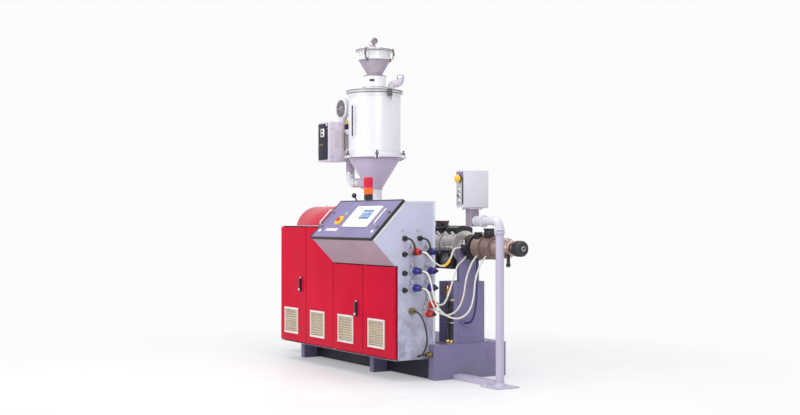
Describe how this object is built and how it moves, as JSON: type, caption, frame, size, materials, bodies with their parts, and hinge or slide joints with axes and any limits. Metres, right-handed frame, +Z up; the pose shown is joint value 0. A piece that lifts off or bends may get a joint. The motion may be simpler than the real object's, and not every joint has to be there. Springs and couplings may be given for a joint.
{
  "type": "plastic extruder",
  "caption": "Single-screw plastic extruder with a hopper dryer over the feed throat, a red-doored control cabinet and a sloping operator console.",
  "frame": {"origin": "bottom centre of the bounding box, on the floor", "axes": "+X the way the plastic runs, from the drive to the die; +Y from the cabinet doors to the back; +Z up"},
  "size_m": [3.128, 1.182, 2.747],
  "materials": {
    "base_frame": "satin",
    "base_feet": "satin",
    "kick_plates": "satin",
    "cabinet_floor": "satin",
    "cabinet_roof": "satin",
    "cabinet_panels": "satin",
    "cabinet_end_panel": "satin",
    "console_underside": "satin",
    "console_panel": "satin",
    "touch_screen": "satin",
    "panel_controls": "satin",
    "panel_handles": "satin",
    "warning_beacon": "satin",
    "power_sockets": "satin",
    "power_plugs": "satin",
    "panel_leads": "satin",
    "supply_glands": "satin",
    "drive_housing": "satin",
    "drive_hood": "satin",
    "feed_throat": "satin",
    "gate_body": "satin",
    "slide_gate": "satin",
    "dryer_cone": "satin",
    "dryer_drum": "satin",
    "dryer_lid": "satin",
    "dryer_clamps": "satin",
    "sight_glass": "satin",
    "dryer_control_box": "satin",
    "dryer_fan": "satin",
    "hot_air_elbow": "satin",
    "loader_bowl": "satin",
    "loader_lid": "satin",
    "barrel": "satin",
    "heater_bands": "satin",
    "zone_fans": "satin",
    "barrel_pedestal": "satin",
    "die_clamp": "satin",
    "die_head": "satin",
    "die_heaters": "satin",
    "die_nut": "satin",
    "control_post": "satin",
    "control_arm": "satin",
    "control_box": "satin",
    "control_knob": "satin",
    "left_door_handle": "satin",
    "right_door_handle": "satin",
    "first_door": "satin",
    "first_grille": "satin",
    "second_door": "satin",
    "second_grille": "satin",
    "third_door": "satin",
    "third_grille": "satin",
    "fourth_door": "satin",
    "fourth_grille": "satin",
    "upper_heater_cable": "satin",
    "middle_heater_cable": "satin",
    "lower_heater_cable": "satin",
    "low_heater_cable": "satin",
    "water_hose": "satin",
    "supply_cable": "satin"
  },
  "bodies": {
    "machine": {"base_frame": "base_frame", "base_feet": "base_feet", "kick_plates": "kick_plates", "cabinet_floor": "cabinet_floor", "cabinet_roof": "cabinet_roof", "cabinet_panels": "cabinet_panels", "cabinet_end_panel": "cabinet_end_panel", "console_underside": "console_underside", "console_panel": "console_panel", "touch_screen": "touch_screen", "panel_controls": "panel_controls", "panel_handles": "panel_handles", "warning_beacon": "warning_beacon", "power_sockets": "power_sockets", "power_plugs": "power_plugs", "panel_leads": "panel_leads", "supply_glands": "supply_glands", "drive_housing": "drive_housing", "drive_hood": "drive_hood", "feed_throat": "feed_throat", "gate_body": "gate_body", "dryer_cone": "dryer_cone", "dryer_drum": "dryer_drum", "dryer_lid": "dryer_lid", "dryer_clamps": "dryer_clamps", "sight_glass": "sight_glass", "dryer_control_box": "dryer_control_box", "dryer_fan": "dryer_fan", "hot_air_elbow": "hot_air_elbow", "loader_bowl": "loader_bowl", "loader_lid": "loader_lid", "barrel": "barrel", "heater_bands": "heater_bands", "zone_fans": "zone_fans", "barrel_pedestal": "barrel_pedestal", "die_clamp": "die_clamp", "die_head": "die_head", "die_heaters": "die_heaters", "die_nut": "die_nut", "control_post": "control_post", "upper_heater_cable": "upper_heater_cable", "middle_heater_cable": "middle_heater_cable", "lower_heater_cable": "lower_heater_cable", "low_heater_cable": "low_heater_cable", "water_hose": "water_hose", "supply_cable": "supply_cable"},
    "first_leaf": {"first_door": "first_door", "first_grille": "first_grille", "left_door_handle": "left_door_handle"},
    "second_leaf": {"second_door": "second_door", "second_grille": "second_grille"},
    "third_leaf": {"third_door": "third_door", "third_grille": "third_grille", "right_door_handle": "right_door_handle"},
    "fourth_leaf": {"fourth_door": "fourth_door", "fourth_grille": "fourth_grille"},
    "gate": {"slide_gate": "slide_gate"},
    "arm": {"control_arm": "control_arm", "control_box": "control_box", "control_knob": "control_knob"}
  },
  "joints": [
    {"name": "first_door_hinge", "type": "hinge", "parent": "machine", "child": "first_leaf", "pos_m": [-1.054, -0.37795, 0.5], "axis": [0, 0, -1], "range_deg": [0, 85]},
    {"name": "second_door_hinge", "type": "hinge", "parent": "machine", "child": "second_leaf", "pos_m": [-0.124, -0.37795, 0.5], "axis": [0, 0, 1], "range_deg": [0, 85]},
    {"name": "third_door_hinge", "type": "hinge", "parent": "machine", "child": "third_leaf", "pos_m": [-0.104, -0.37795, 0.5], "axis": [0, 0, -1], "range_deg": [0, 85]},
    {"name": "fourth_door_hinge", "type": "hinge", "parent": "machine", "child": "fourth_leaf", "pos_m": [0.826, -0.37795, 0.5], "axis": [0, 0, 1], "range_deg": [0, 85]},
    {"name": "gate_slide", "type": "slide", "parent": "machine", "child": "gate", "axis": [0, -1, 0], "range_m": [0, 0.16]},
    {"name": "arm_swivel", "type": "hinge", "parent": "machine", "child": "arm", "pos_m": [1.449, 0.11605, 1.182], "axis": [0, 0, 1], "range_deg": [0, 90]}
  ]
}
